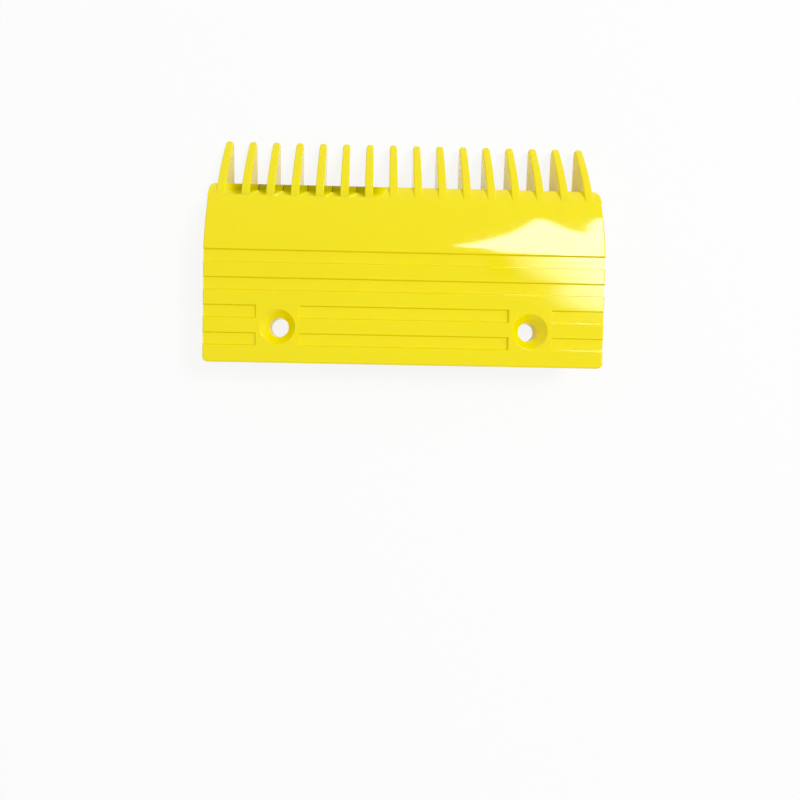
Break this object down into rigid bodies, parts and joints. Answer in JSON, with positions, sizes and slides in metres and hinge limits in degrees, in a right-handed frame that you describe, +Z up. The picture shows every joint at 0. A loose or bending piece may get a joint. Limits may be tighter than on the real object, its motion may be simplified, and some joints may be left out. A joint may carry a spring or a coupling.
{
  "type": "escalator comb plate",
  "caption": "Moulded plastic plate whose front edge carries a row of tapered teeth, with a grooved tread, countersunk screw holes and a pocketed underside.",
  "frame": {"origin": "midway between the two screw holes, on the flat underside that the escalator's frame carries", "axes": "+X across the plate, +Y towards the tooth tips, +Z up out of the tread"},
  "size_m": [0.145, 0.0856, 0.0188],
  "materials": {
    "plastic": "gloss yellow"
  },
  "bodies": {
    "root": {"comb_plate": "plastic"}
  },
  "joints": []
}
